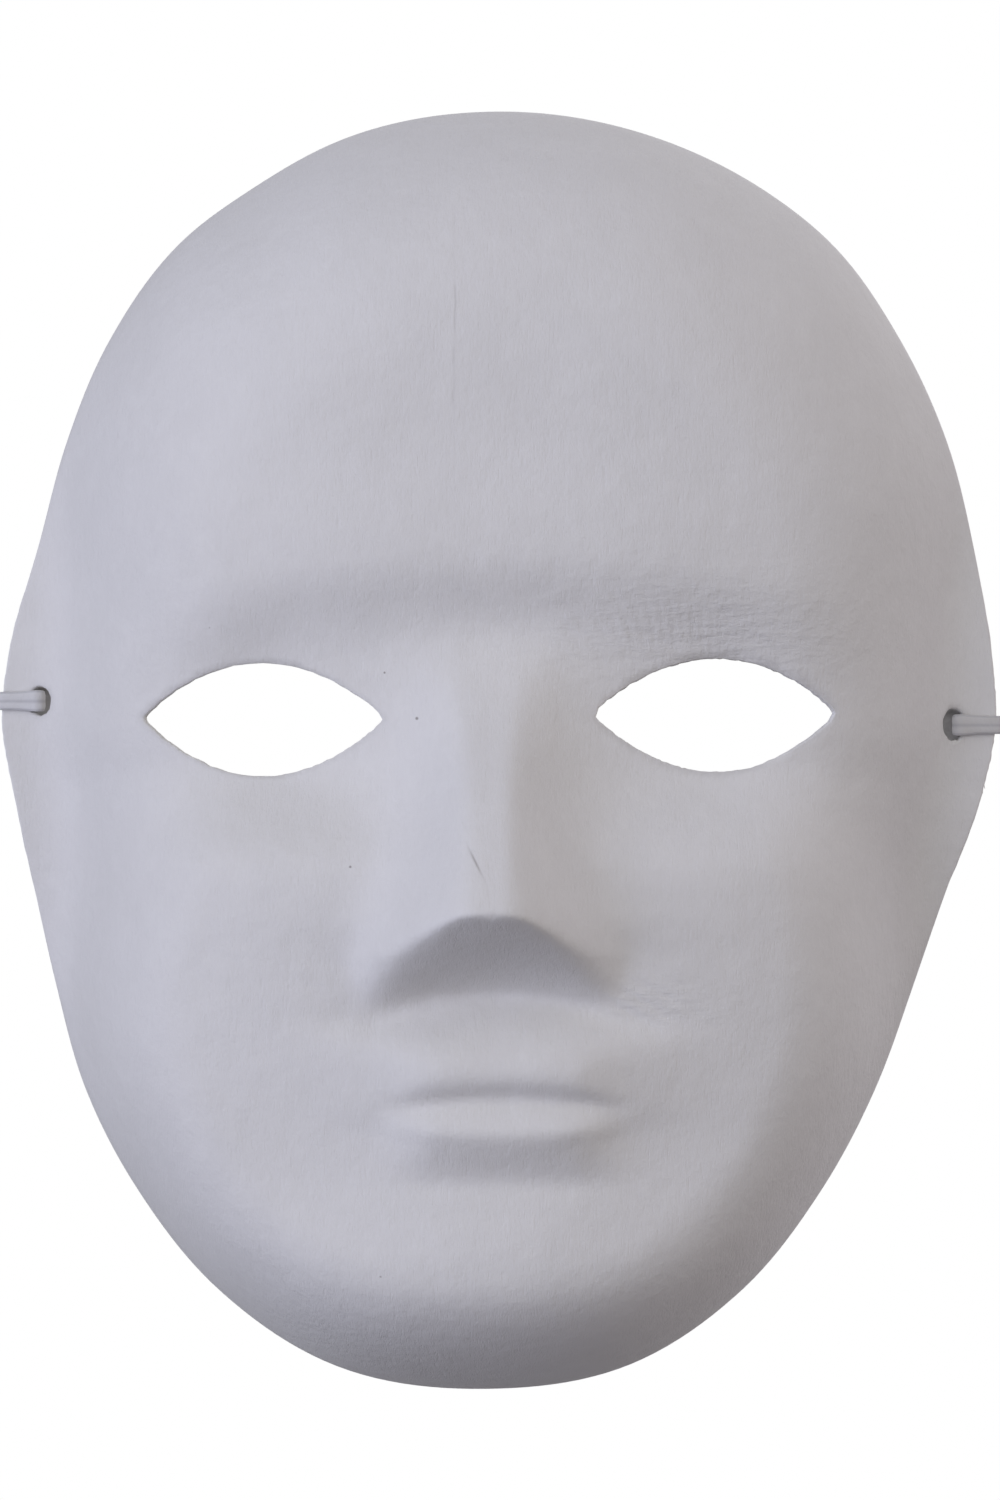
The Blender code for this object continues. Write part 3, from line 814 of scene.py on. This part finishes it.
def makeKnot(side, finish):
    # an overhand knot as a trefoil, (sin t + 2 sin 2t, cos t - 2 cos 2t, -sin 3t), of ribbed
    # cord, with its bight behind the hole, its cut tail hanging and threads at the tail's end
    s, e = knotSettings, elasticSettings
    holeX, z = maskSettings["strapHoles"][side][:2]
    outward = math.copysign(1, holeX)
    centre = np.array([holeX + outward * s["fromHole"], s["depth"], z])
    t = np.linspace(0, math.tau, s["steps"], endpoint=False)
    knot = np.stack([
        outward * (np.sin(t) + 2 * np.sin(2 * t)),
        -s["height"] * np.sin(3 * t),
        np.cos(t) - 2 * np.cos(2 * t),
    ], -1) * s["scale"] + centre
    turn = np.arange(s["around"]) / s["around"] * math.tau
    ribbed = 1 + 0.07 * np.cos(2 * turn)[None] + 0.035 * np.cos(26 * t[:, None] + 3 * turn[None])
    grid = tubeGrid(knot, s["strand"] * ribbed, s["around"], True)
    faces, _ = gridFaces(s["steps"], s["around"], True)
    parts = [(grid.reshape(-1, 3), faces.tolist())]

    share = np.linspace(0, 1, 12)
    tail = np.stack([
        centre[0] + outward * 1.6 * share**2,
        centre[1] + 0.6 + 0.35 * np.sin(share * 4),
        centre[2] - s["tail"] * share,
    ], -1)
    tail = evenPath(tail, e["step"])
    sway = np.linspace(0, 0.5, len(tail))
    across = np.stack([np.cos(sway), np.sin(sway), 0 * sway], -1)
    grid = bandGrid(tail, across, np.full(len(tail), e["width"] * 0.92), e, False)
    faces, corners = gridFaces(len(tail), e["around"], False)
    parts.append(closeEnds(grid, faces, corners)[:2])

    bight = np.array(s["bight"]) * (outward, 1, 1) + (holeX, 0, z)
    bight = evenPath(bight, e["step"])
    flat = np.cross(unit(np.gradient(bight, axis=0)), (0.0, 1.0, 0.0))
    grid = bandGrid(bight, flat, np.full(len(bight), e["width"]), e, False)
    faces, corners = gridFaces(len(bight), e["around"], False)
    parts.append(closeEnds(grid, faces, corners)[:2])

    rng = np.random.default_rng(21 if side == "left" else 22)
    for number in range(s["threads"]):
        root = tail[-1] + across[-1] * (number / (s["threads"] - 1) - 0.5) * e["width"] * 0.8
        reach = rng.uniform(0.9, 2.1)
        bend = rng.uniform(-0.6, 0.6, 3) * (1, 1, 0.3)
        step = np.linspace(0, 1, 8)[:, None]
        drop = 0.4 * (1 - step) - reach * step
        thread = root + drop * np.array([0, 0, 1]) + bend * step**2
        radius = 0.11 * (1 - 0.6 * step)
        grid = tubeGrid(thread, radius, 6, False)
        faces, corners = gridFaces(8, 6, False)
        parts.append(closeEnds(grid, faces, corners)[:2])
    points, faces = joinParts(parts)
    return meshObject(f"elastic_knot_{side}", points, faces, finish)


def makeStrap(finish):
    # the head elastic along its route, with its ends running on into the knots
    s = elasticSettings
    route = np.array(strapRoute) / mm
    ends = []
    for side in ("left", "right"):
        holeX, z = maskSettings["strapHoles"][side][:2]
        x = holeX + math.copysign(knotSettings["fromHole"], holeX)
        ends.append(np.array([x, knotSettings["depth"], z]))
    leftEnd, rightEnd = ends
    route = np.concatenate([
        [leftEnd, leftEnd * 0.52 + route[0] * 0.48], route,
        [rightEnd * 0.52 + route[-1] * 0.48, rightEnd],
    ])
    path = evenPath(route, s["step"])
    share = np.linspace(0, 1, len(path))
    twist = 0.55 * np.sin(share * math.tau * 1.5 + 0.7) + 0.35 * np.sin(share * math.tau * 3.5)
    tangent = unit(np.gradient(path, axis=0))
    inPlane = np.cross(tangent, (0.0, 1.0, 0.0))
    across = np.cos(twist)[:, None] * np.array([0.0, 1.0, 0.0]) + np.sin(twist)[:, None] * inPlane
    grid = bandGrid(path, across, np.full(len(path), s["width"]), s, False)
    faces, corners = gridFaces(len(path), s["around"], False)
    points, faces, corners = closeEnds(grid, faces, corners * (len(path) * s["step"], 1))
    made = meshObject("head_elastic_band", points, faces, finish, corners)
    return made, path


elasticColours = {
    "yarn": (0.66, 0.66, 0.67, 1),
    "gap": (0.40, 0.40, 0.42, 1),
    # soil, and painted shade on the right side
    "worn": (0.57, 0.56, 0.55, 1),
    # painted shade inside the strap holes
    "holeShade": (0.16, 0.155, 0.15, 1),
}


def elasticFinish():
    # painted shade in the valleys between the ribs, which the cosine of the share round the band
    # finds, and along its edges; soil, and painted shade on the right side and in the strap holes
    s = elasticColours
    made, shader, draw = newFinish(
        "white_elastic_detail", {"Metallic": 0.0, "Sheen Weight": 0.08, "Sheen Roughness": 0.5},
    )
    place = draw.node("ShaderNodeTexCoord", output="Object")
    fine = place.noise(5200, 2.0, 0.6)
    fuzz = fibreField(place, 3600, 2.0)
    soil = place.noise(140, 3.0, 0.6)
    colour = (1 - fuzz.ramp(0.15, 0.8)).mix(s["yarn"], s["gap"])
    apart = draw.node("ShaderNodeSeparateXYZ", None, {"Vector": place})
    x, y, z = (Wire(apart.tree, apart.socket.node.outputs[name]) for name in "XYZ")
    # soil in patches, and painted shade growing over the right side of the band (X above 0)
    colour = (soil.ramp(0.45, 0.75) * 0.4 + x.ramp(0, 0.08) * 0.6).mix(colour, s["worn"])
    corner = draw.node("ShaderNodeTexCoord", output="UV")
    turn = draw.node("ShaderNodeSeparateXYZ", None, {"Vector": corner})
    turn = Wire(turn.tree, turn.socket.node.outputs["Y"])
    across = turn.maths("COSINE", turn * math.tau)
    # painted shade in the valley between the ribs and along the band's edges
    ribValleyAndEdgeShade = (across + 0.05).bell(0.13) + (across.size() - 0.88).bell(0.06)
    colour = (ribValleyAndEdgeShade * 0.55).mix(colour, s["gap"])
    # painted shade on the elastic inside the strap holes, deepest towards each hole's top and uneven
    # with the soil noise
    for holeX, holeZ, halfWidth, halfHeight in maskSettings["strapHoles"].values():
        oval = ((x / mm - holeX) / halfWidth) ** 2 + ((z / mm - holeZ) / halfHeight) ** 2
        inHole = (1 - oval.ramp(0.7, 1.6)) * y.ramp(-3.5 * mm, -2.2 * mm)
        top = (z / mm - holeZ).ramp(0.3 * halfHeight, 0.9 * halfHeight)
        colour = (inHole * (0.25 + 0.3 * soil + 0.5 * top)).mix(colour, s["holeShade"])
    roughness = 0.70 + 0.15 * fine
    surface = draw.bump(0.6 * fuzz + 0.4 * fine, 0.5, 0.08 * mm)
    feed(shader, {"Base Color": colour, "Roughness": roughness, "Normal": surface})
    return made


elastic = elasticFinish()
for side in ("left", "right"):
    loop = makeLoop(side, elastic)
    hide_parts(f"loop_{side}")
    knot = makeKnot(side, elastic)
    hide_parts(f"knot_{side}")
    for piece in (loop, knot):
        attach(piece, "mask")
strap, strapPath = makeStrap(elastic)
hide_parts("head_elastic")
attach(strap, "strap")
tuple(strapPath[0] * mm)
(strapPath[::8] * mm).tolist()


# ---- floor, world and lights

stageSettings = {
    "floorDrop": 0.45,
    "floorRadius": 2.4,
    "floorColour": (0.90, 0.90, 0.90, 1),
    "floorGlow": 0.42,
    "ambient": (0.06, 0.055, 0.065),
    "panelSoftness": 8.0,
    "panels": (                   # the way towards a soft panel, and its light's colour
        ((-0.7, -0.7, 0.0), (2.0, 2.1, 2.7)),       # the key, in front at the left
        ((-0.5, -0.7, 0.5), (0.7, 0.7, 0.8)),       # high in front
        ((0.5, -0.7, 0.5), (0.7, 0.7, 0.4)),
        ((0.0, -1.0, 0.0), (0.2, 0.15, 0.1)),
        ((-1.0, 0.0, 0.0), (0.5, 0.5, 0.4)),        # the sides
        ((1.0, 0.0, 0.0), (0.8, 0.7, 0.7)),
        ((0.75, -0.25, 0.6), (0.5, 0.5, 0.8)),      # high at the right
        ((0.3, 0.9, 0.35), (2.6, 2.6, 2.6)),        # behind, for the hollow
    ),
}


def makeFloor(s):
    turn = np.linspace(0, math.tau, 96, endpoint=False)
    points = np.stack([
        s["floorRadius"] * np.cos(turn), s["floorRadius"] * np.sin(turn), np.full(96, -s["floorDrop"]),
    ], -1)
    finish = newFinish("pale_floor", {
        "Base Color": s["floorColour"], "Roughness": 0.9,
        "Emission Color": (1, 1, 1, 1), "Emission Strength": s["floorGlow"],
    })[0]
    made = meshObject("floor", points / mm, [list(range(96))], finish)
    made.visible_diffuse = False


def makeWorld(s):
    # an even ambient and soft panels round the mask, each of them its colour times
    # e^(softness * (cosine - 1)) by the angle to its middle; white to the camera
    world = bpy.data.worlds.new("studio")
    bpy.context.scene.world = world
    world.use_nodes = True
    tree = world.node_tree
    tree.nodes.clear()
    draw = Wire(tree)
    way = draw.node("ShaderNodeTexCoord", output="Generated")
    light = s["ambient"]
    for towards, colour in s["panels"]:
        cosine = way.vectors("DOT_PRODUCT", way, tuple(unit(np.array(towards))), output="Value")
        amount = way.maths("EXPONENT", (cosine - 1) * s["panelSoftness"])
        glow = way.vectors("SCALE", colour, scale=amount)
        light = way.vectors("ADD", light, glow)
    light = draw.node("ShaderNodeBackground", None, {"Color": light, "Strength": 1.0})
    white = draw.node("ShaderNodeBackground", None, {"Color": (1, 1, 1, 1), "Strength": 1.0})
    seen = draw.node("ShaderNodeLightPath", output="Is Camera Ray")
    both = draw.node("ShaderNodeMixShader", None, {0: seen, 1: light, 2: white})
    draw.node("ShaderNodeOutputWorld", None, {"Surface": both})


makeFloor(stageSettings)
makeWorld(stageSettings)
bpy.context.scene.view_settings.view_transform = "Standard"
print("stage lit")
